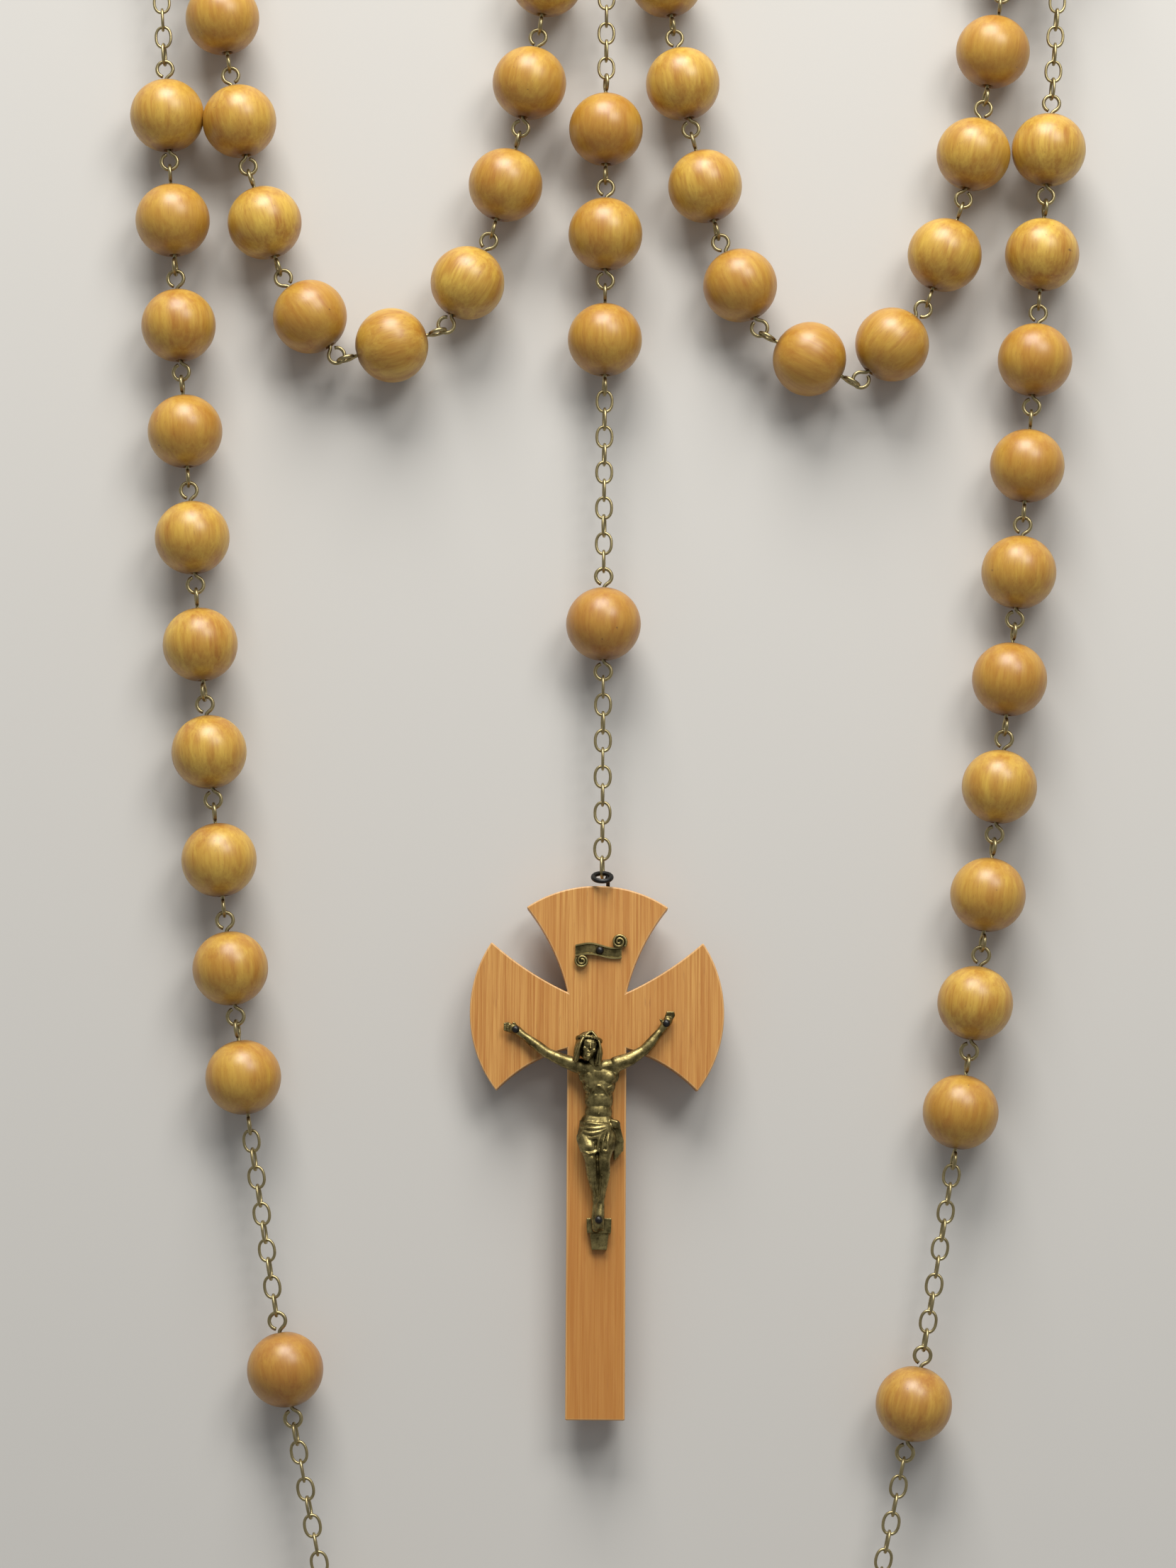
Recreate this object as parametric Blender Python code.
"""A five-decade wall rosary, hanging from three pegs.

The strands hang in the plane y = 0, seen from -Y, with +Z up and +X to the right.
The origin is the centre of the ring by which the medal hangs on the middle peg.
Every strand is a chain of stiff pieces in balance under its own weight, so its shape
comes from hanging_strand() and not from a drawn curve.
"""

import math

import bmesh
import bpy
from mathutils import Matrix, Vector

MM = 0.001

# Beads, their eye pins and the chain links
BEAD_R = 10.0 * MM
BEAD_PITCH = 29.0 * MM
LINK_PITCH = 4.83 * MM
DECADE = 10
CHAIN_LINKS = 10
CROSS_CHAIN_LINKS = 11
BEAD_WEIGHT = 3.2
LINK_WEIGHT = 0.15

# Coarse stand-ins for the wire eyes and the links
EYE_R = 2.4 * MM
EYE_WIRE_R = 0.35 * MM
EYE_PLAY = 0.15 * MM
EYE_SET_BACK = EYE_R - EYE_WIRE_R - EYE_PLAY
CHAIN_R = 1.3 * MM
TUBE_REACH = 0.93
BALL_TURN = math.radians(8)

# Pegs and the places where the strands start
PEG_LEFT = Vector((-118.6, 0.0, -19.2)) * MM
PEG_RIGHT = Vector((119.7, 0.0, -27.4)) * MM
WRAP_LINKS = 4
WRAP_R = LINK_PITCH / (2 * math.sin(math.pi / (2 * WRAP_LINKS)))
WRAP_TILT = math.radians(10)
INNER_PEG_LINKS = 5
OUTER_PEG_LINKS = 1
HINGED_BY_MEDAL = 4

# Medal at the middle peg
HANGING_RING_R = 3.2 * MM
RING_WIRE_R = 0.7 * MM
MEDAL_SIZE = Vector((15.5, 1.8, 21.5)) * MM
MEDAL_Z = -14.0 * MM
MEDAL_EAR_X = 8.7 * MM
MEDAL_FOOT_Z = -25.9 * MM

# Cross: a board cut from a disc, with a long shaft
CROSS_X = -1.2 * MM
CROSS_Y = 1.7 * MM
CROSS_HALF_T = 3.75 * MM
CROSS_R = 33.6 * MM
CROSS_TOP_GAP = 2.7 * MM
CROSS_HEIGHT = 140.0 * MM
SHAFT_HALF_W = 7.8 * MM
TOP_ARM_HALF_W = 18.8 * MM
SIDE_ARM_UP = 18.6 * MM
SIDE_ARM_DOWN = 20.6 * MM
CROTCH_UP = 5.4 * MM
CROTCH_DOWN = 9.4 * MM
TOP_ARM_BULGE = 1.4 * MM
SIDE_ARM_TOP_BULGE = 0.9 * MM
SIDE_ARM_FOOT_BULGE = 1.5 * MM
EDGE_BEVEL = 0.5 * MM

# Screw eye in the top of the cross, its ring tipped forward
SCREW_RING_R = 2.4 * MM
SCREW_WIRE_R = 0.65 * MM
SCREW_TIP = math.radians(30)
SHANK_TURN = math.radians(50)
SHANK_R = 0.5 * MM
SHANK_DEPTH = 6.0 * MM

# Clearance between pieces that touch in the real object
GAP = 0.3 * MM

# Figure, measured from the middle of the cross's disc
HAND_LEFT = Vector((-21.4, 0.0, -4.6)) * MM
HAND_RIGHT = Vector((18.3, 0.0, -2.8)) * MM
FOOT_NAIL = Vector((0.7, 0.0, -54.3)) * MM
TITLE_AT = Vector((0.7, 0.0, 16.4)) * MM

CROSS_PIECES = ("cross", "figure", "title_scroll", "screw_eye")
CROSS_PIECES += ("nail_left_hand", "nail_right_hand", "nail_feet")

MATERIALS = {
    "hail_mary_wood": ((0.53, 0.26, 0.07), 0.32, 0.0),
    "our_father_wood": ((0.46, 0.21, 0.06), 0.32, 0.0),
    "chain_brass": ((0.30, 0.24, 0.12), 0.42, 1.0),
    "medal_brass": ((0.28, 0.22, 0.11), 0.45, 1.0),
    "cross_wood": ((0.66, 0.36, 0.13), 0.45, 0.0),
    "figure_brass": ((0.16, 0.12, 0.05), 0.40, 1.0),
    "blackened_steel": ((0.03, 0.03, 0.035), 0.45, 1.0),
}


# ---------------------------------------------------------------- hanging strands


def hanging_strand(start, end, lengths, weights):
    """Joints of a strand of stiff pieces in balance, hung from start to end in the XZ plane.

    The pull has one sideways part all along. Its upward part at each piece's middle is
    what is left of the upward part at the start. Newton's method finds the two.
    """
    total = sum(weights)
    level, rise = 0.1 * total, 0.5 * total

    def joints_for(level, rise):
        points = [Vector(start)]
        left = rise
        for length, weight in zip(lengths, weights):
            left -= weight / 2
            points.append(points[-1] + Vector((level, 0.0, -left)).normalized() * length)
            left -= weight / 2
        return points

    step = 1e-5 * total
    for _ in range(60):
        tip = joints_for(level, rise)[-1]
        miss = tip - Vector(end)
        by_level = (joints_for(level + step, rise)[-1] - tip) / step
        by_rise = (joints_for(level, rise + step)[-1] - tip) / step
        slope = Matrix(((by_level.x, by_rise.x), (by_level.z, by_rise.z)))
        change = slope.inverted() @ Vector((miss.x, miss.z))
        level -= max(-0.3 * level, min(0.3 * level, change.x))
        rise -= max(-0.3 * total, min(0.3 * total, change.y))
    return joints_for(level, rise)


def strand_of(kinds, start, end):
    """Joints of a strand given as a string, with b for a bead and l for a link."""
    lengths = [BEAD_PITCH if kind == "b" else LINK_PITCH for kind in kinds]
    weights = [BEAD_WEIGHT if kind == "b" else LINK_WEIGHT for kind in kinds]
    return hanging_strand(start, end, lengths, weights)


def wrap_points(peg, side):
    """Joints of the links over a peg, from its outer side to its inner side."""
    points = []
    for i in range(WRAP_LINKS + 1):
        turn = math.pi - WRAP_TILT - math.pi * i / WRAP_LINKS
        offset = Vector((-side * math.cos(turn), 0.0, math.sin(turn)))
        points.append(peg + offset * WRAP_R)
    return points


def layout():
    """Every joint between neighbouring pieces, as a list of points for each strand."""
    left_wrap = wrap_points(PEG_LEFT, -1)
    right_wrap = wrap_points(PEG_RIGHT, 1)
    peg_side = "l" * OUTER_PEG_LINKS + "b"
    chain = "l" * CHAIN_LINKS
    decade = "b" * DECADE
    outer = peg_side + chain + decade + chain + "b" + chain + decade
    outer += chain + "b" + chain + decade + chain + peg_side[::-1]
    inner = "l" * INNER_PEG_LINKS + decade + chain
    left_ear = Vector((-MEDAL_EAR_X, 0.0, MEDAL_Z))
    right_ear = Vector((MEDAL_EAR_X, 0.0, MEDAL_Z))
    return {
        "left_wrap": left_wrap,
        "right_wrap": right_wrap,
        "outer": strand_of(outer, left_wrap[0], right_wrap[0]),
        "inner_left": strand_of(inner, left_wrap[-1], left_ear),
        "inner_right": strand_of(inner[::-1], right_ear, right_wrap[-1]),
    }


def pendant_joints():
    """Joints down the pendant: bead, chain, three beads, chain, bead, chain."""
    points = [Vector((0.0, 0.0, MEDAL_FOOT_Z))]
    drops = [BEAD_PITCH, CHAIN_LINKS * LINK_PITCH]
    drops += [BEAD_PITCH] * 3
    drops += [CHAIN_LINKS * LINK_PITCH, BEAD_PITCH, CROSS_CHAIN_LINKS * LINK_PITCH]
    for drop in drops:
        points.append(points[-1] - Vector((0.0, 0.0, drop)))
    return points


# ---------------------------------------------------------------- objects and meshes


def material(name):
    """The named Principled material, made once."""
    if name in bpy.data.materials:
        return bpy.data.materials[name]
    colour, roughness, metallic = MATERIALS[name]
    made = bpy.data.materials.new(name)
    made.use_nodes = True
    shader = made.node_tree.nodes["Principled BSDF"]
    shader.inputs["Base Color"].default_value = (*colour, 1.0)
    shader.inputs["Roughness"].default_value = roughness
    shader.inputs["Metallic"].default_value = metallic
    made.diffuse_color = (*colour, 1.0)
    return made


def add_object(name, mesh, matrix=None, finish=None):
    """A new object with this mesh, linked to the scene."""
    obj = bpy.data.objects.new(name, mesh)
    bpy.context.scene.collection.objects.link(obj)
    if matrix is not None:
        obj.matrix_world = matrix
    if finish is not None and not mesh.materials:
        mesh.materials.append(material(finish))
    return obj


def mesh_from(build):
    """A mesh made by a function that fills a bmesh."""
    bm = bmesh.new()
    build(bm)
    bmesh.ops.recalc_face_normals(bm, faces=bm.faces)
    mesh = bpy.data.meshes.new("shape")
    bm.to_mesh(mesh)
    bm.free()
    return mesh


def ring_mesh(radius, wire_radius, around, across):
    """A round wire ring in the XZ plane."""

    def build(bm):
        circle = bmesh.ops.create_circle(
            bm,
            segments=across,
            radius=wire_radius,
            matrix=Matrix.Translation((radius, 0.0, 0.0)),
        )
        edges = list({edge for vert in circle["verts"] for edge in vert.link_edges})
        bmesh.ops.spin(
            bm,
            geom=circle["verts"] + edges,
            cent=(0.0, 0.0, 0.0),
            axis=(0.0, 1.0, 0.0),
            angle=math.tau,
            steps=around,
            use_merge=True,
        )
        bmesh.ops.remove_doubles(bm, verts=bm.verts, dist=1e-6)

    return mesh_from(build)


def ball_mesh(radius, around, rings):
    """A ball with its poles on the Z axis."""

    def build(bm):
        bmesh.ops.create_uvsphere(bm, u_segments=around, v_segments=rings, radius=radius)

    return mesh_from(build)


def rod_mesh(radius, length, sides):
    """A rod along Z, from z = 0 to its length."""

    def build(bm):
        middle = Matrix.Translation((0.0, 0.0, length / 2))
        bmesh.ops.create_cone(
            bm,
            cap_ends=True,
            segments=sides,
            radius1=radius,
            radius2=radius,
            depth=length,
            matrix=middle,
        )

    return mesh_from(build)


def tube_mesh(points, radius):
    """A closed tube along a line of points."""
    curve = bpy.data.curves.new("path", "CURVE")
    curve.dimensions = "3D"
    curve.bevel_depth = radius
    curve.bevel_resolution = 1
    curve.use_fill_caps = True
    spline = curve.splines.new("POLY")
    spline.points.add(len(points) - 1)
    for spline_point, point in zip(spline.points, points):
        spline_point.co = (*point, 1.0)
    holder = add_object("path", curve)
    mesh = evaluated_mesh(holder)
    bpy.data.objects.remove(holder)
    bm = bmesh.new()
    bm.from_mesh(mesh)
    bmesh.ops.remove_doubles(bm, verts=bm.verts, dist=1e-6)
    bmesh.ops.recalc_face_normals(bm, faces=bm.faces)
    bm.to_mesh(mesh)
    bm.free()
    return mesh


def evaluated_mesh(obj):
    """The object's mesh with its modifiers applied."""
    bpy.context.view_layer.update()
    graph = bpy.context.evaluated_depsgraph_get()
    return bpy.data.meshes.new_from_object(obj.evaluated_get(graph))


def join_solids(name, pieces, finish):
    """One object: the union of meshes, given as (mesh, matrix)."""
    first_mesh, first_matrix = pieces[0]
    base = add_object(name, first_mesh.copy())
    base.data.transform(first_matrix)
    helpers = []
    for mesh, matrix in pieces[1:]:
        helper = add_object(name + "_helper", mesh.copy())
        helper.data.transform(matrix)
        union = base.modifiers.new("union", "BOOLEAN")
        union.operation = "UNION"
        union.solver = "EXACT"
        union.object = helper
        helpers.append(helper)
    joined = evaluated_mesh(base)
    joined.name = name
    for helper in helpers:
        bpy.data.objects.remove(helper)
    bpy.data.objects.remove(base)
    joined.materials.clear()
    joined.shade_smooth()
    joined.set_sharp_from_angle(angle=math.radians(50))
    return add_object(name, joined, finish=finish)


def put_origin_at(obj, point):
    """Moves an object's origin to a point and leaves its shape where it is."""
    obj.data.transform(Matrix.Translation(obj.matrix_world.translation - point))
    obj.matrix_world = Matrix.Translation(point)


def along(point, direction, edge_on):
    """A frame at a point, with Z along the strand and Y or X out of its plane."""
    z = direction.normalized()
    y = Vector((0.0, 1.0, 0.0))
    x = y.cross(z)
    if edge_on:
        x, y = y, -x
    turn = Matrix((x, y, z)).transposed().to_4x4()
    return Matrix.Translation(point) @ turn


# ---------------------------------------------------------------- beads and chains


def eye_place(joint, inward, edge_on):
    """Where an eye goes that links with its neighbour at a joint."""
    direction = inward.normalized()
    return along(joint + direction * EYE_SET_BACK, direction, edge_on)


def bead_with_eyes():
    """The shared shape of a bead on its eye pin, with the pin along Z."""
    eye = ring_mesh(EYE_R, EYE_WIRE_R, 8, 3)
    ball = ball_mesh(BEAD_R, 10, 6)
    up = Vector((0.0, 0.0, 1.0))
    pieces = [(ball, Matrix.Identity(4))]
    for side in (1, -1):
        pieces.append((eye, eye_place(up * side * BEAD_PITCH / 2, -up * side, False)))
    sample = join_solids("bead_shape", pieces, None)
    mesh = sample.data
    bpy.data.objects.remove(sample)
    return mesh


def add_bead(name, shape, upper, lower, edge_on, finish):
    """A bead between two joints."""
    mesh = shape.copy()
    mesh.transform(along((upper + lower) / 2, upper - lower, edge_on))
    mesh.name = name
    return add_object(name, mesh, finish=finish)


def add_run(name, points, beads, first_edge_on, last_edge_on, finish, shape=None):
    """A run of chain as one stiff piece, with the beads on it, and an eye at each open end.

    The tube stands for the links. An end whose edge_on is None has no eye.
    """
    path = [Vector(point) for point in points]
    eye = ring_mesh(EYE_R, EYE_WIRE_R, 8, 3)
    ball = ball_mesh(BEAD_R, 10, 6)
    pieces = []
    ends = ((0, 1, first_edge_on), (-1, -2, last_edge_on))
    for end, beside, edge_on in ends:
        if edge_on is None:
            continue
        inward = Vector(points[beside]) - Vector(points[end])
        pieces.append((eye, eye_place(Vector(points[end]), inward, edge_on)))
        path[end] = path[end] + inward.normalized() * (EYE_SET_BACK + EYE_R * TUBE_REACH)
    pieces.insert(0, (tube_mesh(path, CHAIN_R), Matrix.Identity(4)))
    for upper, lower in beads:
        centre = (upper + lower) / 2
        turn = Matrix.Rotation(BALL_TURN, 4, "Z")
        pieces.append((ball, along(centre, upper - lower, False) @ turn))
    if shape is not None:
        pieces.append(shape)
    join_solids(name, pieces, finish)


def thin_out(points, keep):
    """Every keep-th point of a line, with both its ends."""
    kept = points[:-1:keep]
    kept.append(points[-1])
    return kept


def outer_strand(joints, shape):
    """The two outer decades, the chains below them and their Our Father beads."""
    first = OUTER_PEG_LINKS + 1 + CHAIN_LINKS
    last = len(joints) - 1 - first
    for number in range(DECADE):
        edge_on = number % 2 == 1
        upper, lower = joints[first + number], joints[first + number + 1]
        name = f"outer_left_bead_{number + 1:02d}"
        add_bead(name, shape, upper, lower, edge_on, "hail_mary_wood")
        upper, lower = joints[last - number], joints[last - number - 1]
        name = f"outer_right_bead_{number + 1:02d}"
        add_bead(name, shape, upper, lower, edge_on, "hail_mary_wood")
    foot = first + DECADE
    ends = {"left": (foot, 1), "right": (last - DECADE, -1)}
    for side, (start, step) in ends.items():
        chain = [joints[start + step * i] for i in range(CHAIN_LINKS + 1)]
        add_run(f"lower_chain_{side}", thin_out(chain, 5), [], False, True, "chain_brass")
        upper = joints[start + step * CHAIN_LINKS]
        lower = joints[start + step * (CHAIN_LINKS + 1)]
        name = f"our_father_bead_{side}"
        add_bead(name, shape, upper, lower, False, "our_father_wood")


def bottom_decade(joints):
    """The decade that closes the loop, with its chain at each side, as one stiff run."""
    first = OUTER_PEG_LINKS + 1 + CHAIN_LINKS + DECADE + CHAIN_LINKS + 1
    last = len(joints) - 1 - first
    points = joints[first : last + 1]
    decade = points[CHAIN_LINKS : CHAIN_LINKS + DECADE + 1]
    beads = list(zip(decade[:-1], decade[1:]))
    path = thin_out(points[: CHAIN_LINKS + 1], 5)
    path += decade[1:]
    path += thin_out(points[CHAIN_LINKS + DECADE :], 5)[1:]
    add_run("bottom_decade", path, beads, True, True, "hail_mary_wood")


def inner_strand(side, joints, shape):
    """The nine beads of an inner decade that hang free, numbered from the medal."""
    from_medal = joints if side == "right" else joints[::-1]
    for number in range(DECADE - 1):
        upper = from_medal[CHAIN_LINKS + number]
        lower = from_medal[CHAIN_LINKS + number + 1]
        edge_on = number % 2 == 0
        name = f"inner_{side}_bead_{number + 1:02d}"
        add_bead(name, shape, upper, lower, edge_on, "hail_mary_wood")


def corner(side, wrap, outer, inner):
    """What hangs still at a peg: the chain over it, an Our Father bead and an end bead."""
    down = thin_out(outer[OUTER_PEG_LINKS + 1 : OUTER_PEG_LINKS + CHAIN_LINKS + 2], 5)
    path = down[::-1]
    path += [outer[OUTER_PEG_LINKS]]
    path += wrap
    path += [inner[INNER_PEG_LINKS], inner[INNER_PEG_LINKS + 1]]
    beads = [
        (outer[OUTER_PEG_LINKS], outer[OUTER_PEG_LINKS + 1]),
        (inner[INNER_PEG_LINKS], inner[INNER_PEG_LINKS + 1]),
    ]
    add_run(f"{side}_corner", path, beads, True, False, "our_father_wood")


def centre_medal(left_chain, right_chain):
    """The medal, its hanging ring and foot ring, and the chain to each inner decade."""
    plate = rod_mesh(0.5, 1.0, 24)
    plate.transform(Matrix.Rotation(math.pi / 2, 4, "X"))
    plate.transform(Matrix.Translation((0.0, 0.5, 0.0)))
    size = Matrix.Diagonal((MEDAL_SIZE.x, MEDAL_SIZE.y, MEDAL_SIZE.z, 1.0))
    ring = ring_mesh(HANGING_RING_R, RING_WIRE_R, 12, 5)
    foot = ring_mesh(EYE_R, EYE_WIRE_R, 8, 3)
    foot_joint = Vector((0.0, 0.0, MEDAL_FOOT_Z))
    eye = ring_mesh(EYE_R, EYE_WIRE_R, 8, 3)
    pieces = [
        (plate, Matrix.Translation((0.0, 0.0, MEDAL_Z)) @ size),
        (ring, Matrix.Identity(4)),
        (foot, eye_place(foot_joint, Vector((0.0, 0.0, 1.0)), True)),
    ]
    for chain in (left_chain, right_chain):
        inward = chain[-2] - chain[-1]
        path = [Vector(point) for point in thin_out(chain, 5)]
        path[0] = path[0] * 0.6 + Vector((0.0, 0.0, MEDAL_Z)) * 0.4
        path[-1] = path[-1] + inward.normalized() * (EYE_SET_BACK + EYE_R * TUBE_REACH)
        pieces.append((tube_mesh(path, CHAIN_R), Matrix.Identity(4)))
        pieces.append((eye, eye_place(chain[-1], inward, False)))
    join_solids("centre_medal", pieces, "medal_brass")


def pendant(joints, shape):
    """The strand from the medal down to the cross."""
    beads = [(joints[0], joints[1])]
    add_run("pendant_top_chain", joints[0:3], beads, False, False, "our_father_wood")
    for number in range(3):
        upper, lower = joints[2 + number], joints[3 + number]
        edge_on = number % 2 == 0
        name = f"pendant_bead_{number + 1}"
        add_bead(name, shape, upper, lower, edge_on, "hail_mary_wood")
    add_run("pendant_middle_chain", joints[5:7], [], False, True, "chain_brass")
    name = "pendant_our_father_bead"
    add_bead(name, shape, joints[6], joints[7], False, "our_father_wood")
    add_run("pendant_lower_chain", joints[7:9], [], True, True, "chain_brass")


# ---------------------------------------------------------------- cross and its fittings


def arc_through(start, end, bulge, steps):
    """Points from start to end on an arc that stands off the straight line by bulge."""
    chord = end - start
    half = chord.length / 2
    radius = (half * half + bulge * bulge) / (2 * abs(bulge))
    side = Vector((chord.y, -chord.x)).normalized() * math.copysign(1.0, bulge)
    centre = (start + end) / 2 - side * (radius - abs(bulge))
    turn = (start - centre).angle_signed(end - centre)
    points = []
    for i in range(steps + 1):
        spoke = start - centre
        spoke.rotate(Matrix.Rotation(-turn * i / steps, 2))
        points.append(centre + spoke)
    return points


def cross_half_outline():
    """The right half of the cross, from the middle of its top to the foot of its shaft."""
    shaft_foot = CROSS_R - CROSS_HEIGHT
    top = Vector((0.0, CROSS_R))
    top_tip = Vector((TOP_ARM_HALF_W, math.sqrt(CROSS_R**2 - TOP_ARM_HALF_W**2)))
    neck = Vector((SHAFT_HALF_W, CROTCH_UP))
    high_tip = Vector((math.sqrt(CROSS_R**2 - SIDE_ARM_UP**2), SIDE_ARM_UP))
    low_tip = Vector((math.sqrt(CROSS_R**2 - SIDE_ARM_DOWN**2), -SIDE_ARM_DOWN))
    crotch = Vector((SHAFT_HALF_W, -CROTCH_DOWN))

    def rim(start, end, steps):
        first, last = math.atan2(start.y, start.x), math.atan2(end.y, end.x)
        turns = [first + (last - first) * i / steps for i in range(steps + 1)]
        return [Vector((math.cos(t), math.sin(t))) * CROSS_R for t in turns]

    outline = rim(top, top_tip, 4)
    outline += arc_through(top_tip, neck, TOP_ARM_BULGE, 4)[1:]
    outline += arc_through(neck, high_tip, SIDE_ARM_TOP_BULGE, 4)[1:]
    outline += rim(high_tip, low_tip, 7)[1:]
    outline += arc_through(low_tip, crotch, SIDE_ARM_FOOT_BULGE, 4)[1:]
    outline.append(Vector((SHAFT_HALF_W, shaft_foot)))
    return outline


def cross_middle(foot_joint):
    """The middle of the cross's disc."""
    top = foot_joint.z - CROSS_TOP_GAP
    return Vector((CROSS_X, CROSS_Y, top - CROSS_R))


def screw_ring_centre(foot_joint):
    """The middle of the screw eye's ring, whose back rim hangs in the last link."""
    rim_z = foot_joint.z + EYE_PLAY + SCREW_WIRE_R
    drop = SCREW_RING_R * math.sin(SCREW_TIP)
    forward = SCREW_RING_R * math.cos(SCREW_TIP)
    return Vector((0.0, -forward, rim_z - drop))


def shank_top(foot_joint):
    """Where the screw eye's shank meets its ring."""
    centre = screw_ring_centre(foot_joint)
    spoke = Vector((math.cos(SHANK_TURN), math.sin(SHANK_TURN), 0.0)) * SCREW_RING_R
    spoke.rotate(Matrix.Rotation(SCREW_TIP, 3, "X"))
    return centre + spoke


def add_cross(foot_joint):
    """The wooden board, bevelled, with holes for the screw eye and the nails."""
    half = cross_half_outline()
    whole = half + [Vector((-point.x, point.y)) for point in reversed(half[1:])]

    def build(bm):
        verts = [bm.verts.new((point.x, -CROSS_HALF_T, point.y)) for point in whole]
        face = bm.faces.new(verts)
        made = bmesh.ops.extrude_face_region(bm, geom=[face])
        moved = [item for item in made["geom"] if isinstance(item, bmesh.types.BMVert)]
        bmesh.ops.translate(bm, verts=moved, vec=(0.0, 2 * CROSS_HALF_T, 0.0))

    middle = cross_middle(foot_joint)
    cross = add_object("cross", mesh_from(build), Matrix.Translation(middle), "cross_wood")
    bevel = cross.modifiers.new("edge", "BEVEL")
    bevel.width = EDGE_BEVEL
    bevel.segments = 1
    bevel.angle_limit = math.radians(60)
    holes = [
        (shank_top(foot_joint) - Vector((0.0, 0.0, SHANK_DEPTH + 3 * GAP)), "Z"),
        (middle + HAND_LEFT, "Y"),
        (middle + HAND_RIGHT, "Y"),
        (middle + FOOT_NAIL, "Y"),
        (middle + TITLE_AT, "Y"),
    ]
    for number, (at, axis) in enumerate(holes):
        cutter_mesh = rod_mesh(SHANK_R + GAP, 12 * MM, 8)
        place = Matrix.Translation(at)
        if axis == "Y":
            back = Vector((at.x, middle.y + CROSS_HALF_T - 2.0 * MM, at.z))
            place = Matrix.Translation(back) @ Matrix.Rotation(math.pi / 2, 4, "X")
        cutter = add_object(f"hole_cutter_{number}", cutter_mesh, place)
        cutter.hide_render = True
        cutter.display_type = "WIRE"
        hole = cross.modifiers.new("hole", "BOOLEAN")
        hole.operation = "DIFFERENCE"
        hole.solver = "EXACT"
        hole.object = cutter
    return middle


def add_screw_eye(foot_joint):
    """The blackened steel screw eye."""
    ring = ring_mesh(SCREW_RING_R, SCREW_WIRE_R, 12, 6)
    flat = Matrix.Rotation(SCREW_TIP + math.pi / 2, 4, "X")
    top = shank_top(foot_joint)
    shank = rod_mesh(SHANK_R, SHANK_DEPTH, 8)
    pieces = [
        (ring, Matrix.Translation(screw_ring_centre(foot_joint)) @ flat),
        (shank, Matrix.Translation(top - Vector((0.0, 0.0, SHANK_DEPTH)))),
    ]
    join_solids("screw_eye", pieces, "blackened_steel")


def add_nail(name, middle, at, head_y):
    """A nail along Y, its head standing off the cross at head_y."""
    tip_y = middle.y + CROSS_HALF_T - 2.5 * MM
    head = rod_mesh(1.0 * MM, 0.8 * MM, 10)
    shank = rod_mesh(SHANK_R, tip_y - head_y, 8)
    forward = Matrix.Rotation(-math.pi / 2, 4, "X")
    place = Matrix.Translation(Vector((middle.x + at.x, head_y, middle.z + at.z)))
    join_solids(name, [(head, place @ forward), (shank, place @ forward)], "blackened_steel")


def limb_mesh(start, end, radius_start, radius_end):
    """A tapered eight-sided limb between two points."""
    span = end - start

    def build(bm):
        bmesh.ops.create_cone(
            bm,
            cap_ends=True,
            segments=8,
            radius1=radius_start,
            radius2=radius_end,
            depth=span.length,
        )

    mesh = mesh_from(build)
    turn = Vector((0.0, 0.0, 1.0)).rotation_difference(span).to_matrix().to_4x4()
    mesh.transform(Matrix.Translation((start + end) / 2) @ turn)
    return mesh


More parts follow.
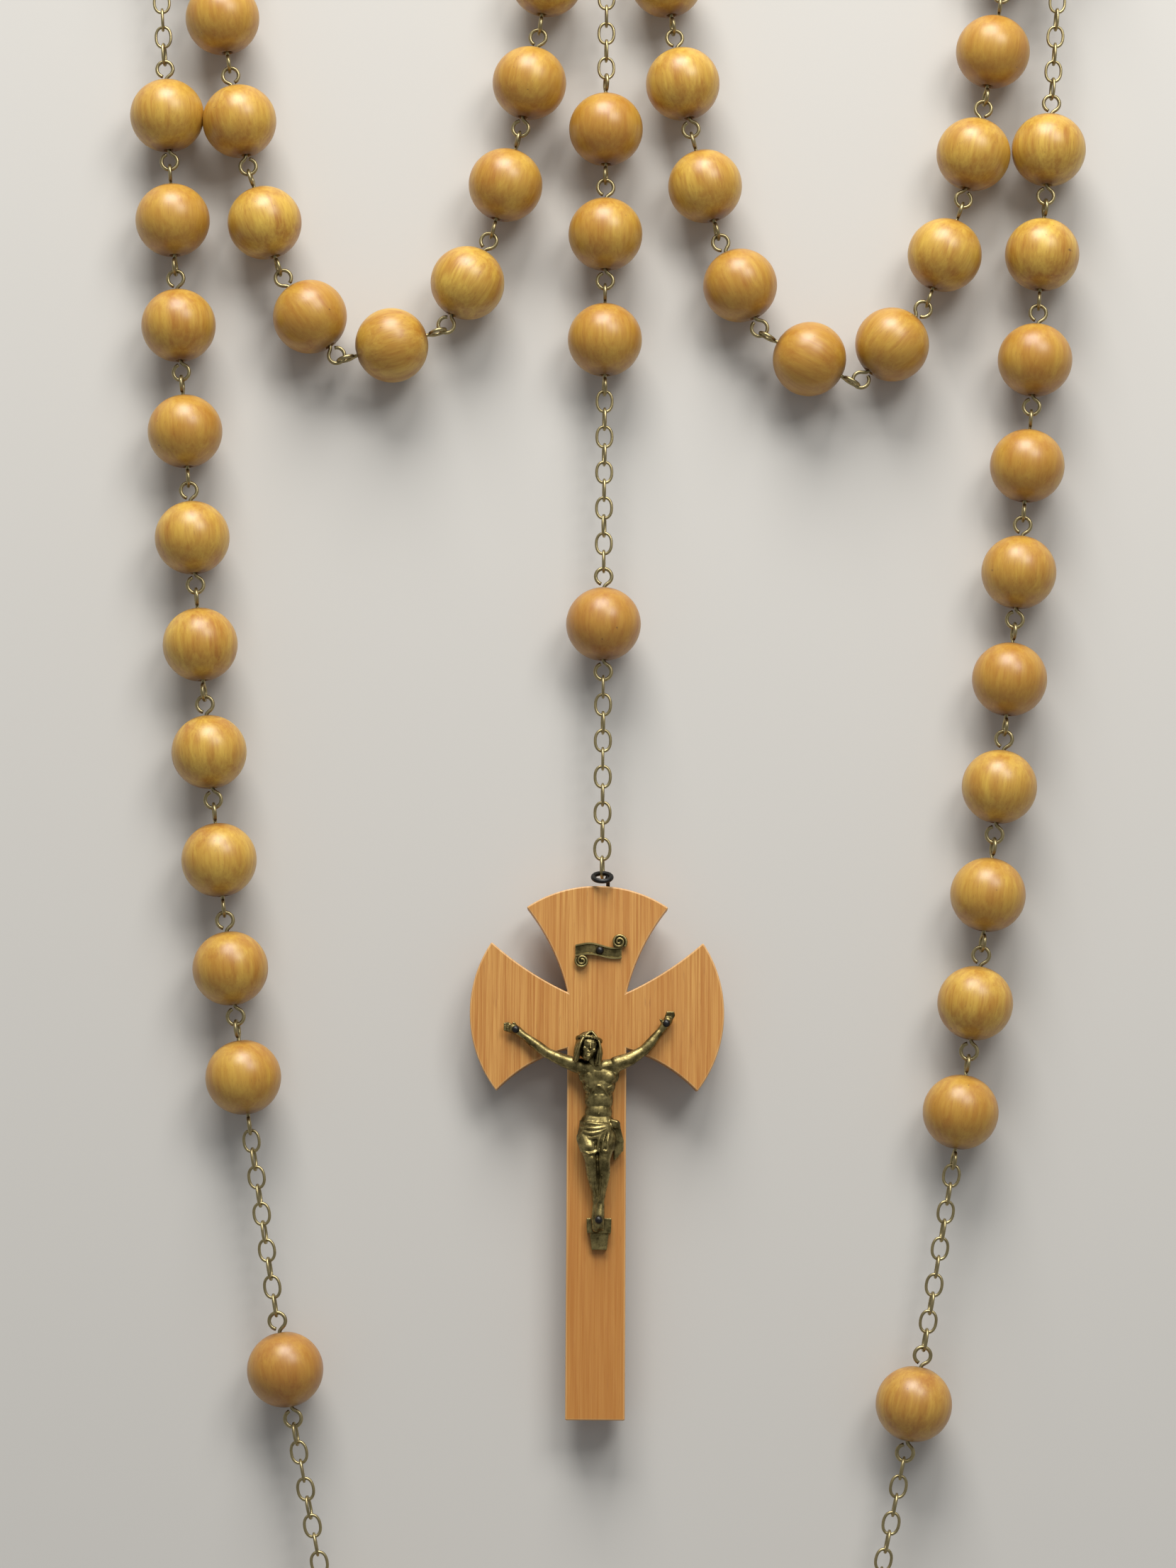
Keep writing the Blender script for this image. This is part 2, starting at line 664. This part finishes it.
def add_figure(middle):
    """The cast figure, flat at its back where it lies on the board."""
    front = middle.y - CROSS_HALF_T - GAP
    lean = 2.0 * MM

    def at(x, z, out):
        return Vector((middle.x + x * MM, front - out * MM, middle.z + z * MM))

    shoulder_left, shoulder_right = at(-5.2, -13.8, 2.0), at(6.0, -13.6, 2.0)
    neck, chest, waist = at(0.8, -13.0, 2.6), at(0.9, -17.5, 2.8), at(1.2, -25.5, 2.4)
    hip, knee, ankle = at(1.6, -31.0, 2.6), at(1.8, -40.5, 3.4), at(0.9, -50.0, 2.4)
    toe = at(0.7, -55.0, 2.2)
    limbs = [
        (at(-21.6, -4.4, 1.2), shoulder_left, 1.3, 2.1),
        (at(18.6, -2.6, 1.2), shoulder_right, 1.3, 2.1),
        (shoulder_left, shoulder_right, 2.3, 2.3),
        (at(-0.9, -9.0, 3.2), neck, 3.4, 1.9),
        (neck, chest, 3.2, 4.6),
        (chest, waist, 4.6, 3.2),
        (waist, hip, 3.4, 4.8),
        (hip, knee, 4.6, 2.9),
        (knee, ankle, 2.8, 1.7),
        (ankle, toe, 1.8, 2.2),
        (at(1.6, -52.0, 1.6), at(1.4, -61.5, 1.4), 3.4, 2.6),
        (hip, at(6.0, -37.0, 1.6), 2.0, 1.2),
    ]
    pieces = []
    for start, end, first, last in limbs:
        pieces.append((limb_mesh(start, end, first * MM, last * MM), Matrix.Identity(4)))
    head = ball_mesh(3.6 * MM, 8, 6)
    pieces.append((head, Matrix.Translation(at(-1.6, -8.2, 3.4))))
    rough = join_solids("figure_rough", pieces, None)
    bm = bmesh.new()
    bm.from_mesh(rough.data)
    bpy.data.objects.remove(rough)
    cut = bmesh.ops.bisect_plane(
        bm,
        geom=bm.verts[:] + bm.edges[:] + bm.faces[:],
        plane_co=(0.0, front, 0.0),
        plane_no=(0.0, 1.0, 0.0),
        clear_outer=True,
    )
    rim = [item for item in cut["geom_cut"] if isinstance(item, bmesh.types.BMEdge)]
    bmesh.ops.holes_fill(bm, edges=rim)
    bmesh.ops.recalc_face_normals(bm, faces=bm.faces)
    mesh = bpy.data.meshes.new("figure")
    bm.to_mesh(mesh)
    bm.free()
    figure = add_object("figure", mesh, finish="figure_brass")
    for number, hole_at in enumerate((HAND_LEFT, HAND_RIGHT, FOOT_NAIL)):
        start = Vector((middle.x + hole_at.x, front + lean, middle.z + hole_at.z))
        place = Matrix.Translation(start) @ Matrix.Rotation(math.pi / 2, 4, "X")
        cutter = add_object(f"nail_cutter_{number}", rod_mesh(SHANK_R + GAP, 12 * MM, 8), place)
        cutter.hide_render = True
        cutter.display_type = "WIRE"
        hole = figure.modifiers.new("nail_hole", "BOOLEAN")
        hole.operation = "DIFFERENCE"
        hole.solver = "EXACT"
        hole.object = cutter


def add_title_scroll(middle):
    """The curled ribbon above the figure, with its tack."""
    front = middle.y - CROSS_HALF_T - GAP
    thickness = 1.6 * MM
    ribbon = [(-6.6, 2.2), (6.4, 3.6), (7.6, 0.2), (6.4, -2.6), (-3.2, -2.8), (-4.2, -4.4)]
    ribbon += [(-6.4, -4.0)]

    def build(bm):
        verts = []
        for x, z in ribbon:
            verts.append(bm.verts.new((x * MM, 0.0, z * MM)))
        face = bm.faces.new(verts)
        made = bmesh.ops.extrude_face_region(bm, geom=[face])
        moved = [item for item in made["geom"] if isinstance(item, bmesh.types.BMVert)]
        bmesh.ops.translate(bm, verts=moved, vec=(0.0, -thickness, 0.0))

    at = Vector((middle.x + TITLE_AT.x, front, middle.z + TITLE_AT.z))
    forward = Matrix.Rotation(math.pi / 2, 4, "X")
    shank_back = middle.y + CROSS_HALF_T - 2.5 * MM
    tack = rod_mesh(SHANK_R, shank_back - front + thickness + 0.6 * MM, 8)
    tack_place = Matrix.Translation(Vector((at.x, shank_back, at.z))) @ forward
    pieces = [(mesh_from(build), Matrix.Translation(at)), (tack, tack_place)]
    join_solids("title_scroll", pieces, "figure_brass")


# ---------------------------------------------------------------- origins on the hinges


def ring_centre(joint, owner_end):
    """The centre of the eye at a joint that belongs to the piece ending at owner_end."""
    return joint + (owner_end - joint).normalized() * EYE_SET_BACK


def outer_hinges(joints):
    """The point each outer piece turns about, at the edge-on eye of its upper joint."""
    first = OUTER_PEG_LINKS + 1 + CHAIN_LINKS
    strands = {"left": joints, "right": joints[::-1]}
    points = {}
    for side, strand in strands.items():
        for number in range(DECADE):
            at = first + number
            owner = at + 1 if number % 2 == 1 else at - 1
            name = f"outer_{side}_bead_{number + 1:02d}"
            points[name] = ring_centre(strand[at], strand[owner])
        chain_top = first + DECADE
        chain_foot = chain_top + CHAIN_LINKS
        points[f"lower_chain_{side}"] = ring_centre(strand[chain_top], strand[chain_top - 1])
        points[f"our_father_bead_{side}"] = ring_centre(strand[chain_foot], strand[chain_foot - 1])
    points["bottom_decade"] = ring_centre(joints[chain_foot + 1], joints[chain_foot + 2])
    return points


def inner_hinges(side, joints):
    """The point each inner bead turns about; beads up to HINGED_BY_MEDAL hang from the medal."""
    from_medal = joints if side == "right" else joints[::-1]
    points = {}
    for number in range(1, DECADE):
        near, far = CHAIN_LINKS + number - 1, CHAIN_LINKS + number
        hinge, own_end = (near, far) if number <= HINGED_BY_MEDAL else (far, near)
        owner = own_end if number % 2 == 1 else 2 * hinge - own_end
        points[f"inner_{side}_bead_{number:02d}"] = ring_centre(from_medal[hinge], from_medal[owner])
    return points


def pendant_hinges(joints):
    """The point each pendant piece turns about, and the screw eye's rim for the cross."""
    above = Vector((0.0, 0.0, EYE_SET_BACK))
    rim = joints[8] + Vector((0.0, 0.0, EYE_PLAY + SCREW_WIRE_R))
    points = {
        "pendant_top_chain": joints[0] + above,
        "pendant_bead_1": joints[2] - above,
        "pendant_bead_2": joints[3] + above,
        "pendant_bead_3": joints[4] - above,
        "pendant_middle_chain": joints[5] - above,
        "pendant_our_father_bead": joints[6] + above,
        "pendant_lower_chain": joints[7] + above,
    }
    for name in CROSS_PIECES:
        points[name] = rim
    return points


def main():
    for obj in list(bpy.data.objects):
        bpy.data.objects.remove(obj)
    places = layout()
    outer, left, right = places["outer"], places["inner_left"], places["inner_right"]
    shape = bead_with_eyes()
    corner("left", places["left_wrap"], outer, left)
    corner("right", places["right_wrap"], outer[::-1], right[::-1])
    centre_medal(left[::-1][: CHAIN_LINKS + 1], right[: CHAIN_LINKS + 1])
    outer_strand(outer, shape)
    bottom_decade(outer)
    inner_strand("left", left, shape)
    inner_strand("right", right, shape)
    joints = pendant_joints()
    pendant(joints, shape)
    middle = add_cross(joints[-1])
    add_screw_eye(joints[-1])
    front = middle.y - CROSS_HALF_T
    add_nail("nail_left_hand", middle, HAND_LEFT, front - 4.0 * MM)
    add_nail("nail_right_hand", middle, HAND_RIGHT, front - 4.0 * MM)
    add_nail("nail_feet", middle, FOOT_NAIL, front - 6.2 * MM)
    add_figure(middle)
    add_title_scroll(middle)
    hinges = outer_hinges(outer) | inner_hinges("left", left) | inner_hinges("right", right)
    hinges |= pendant_hinges(joints)
    for name, point in hinges.items():
        put_origin_at(bpy.data.objects[name], point)


main()
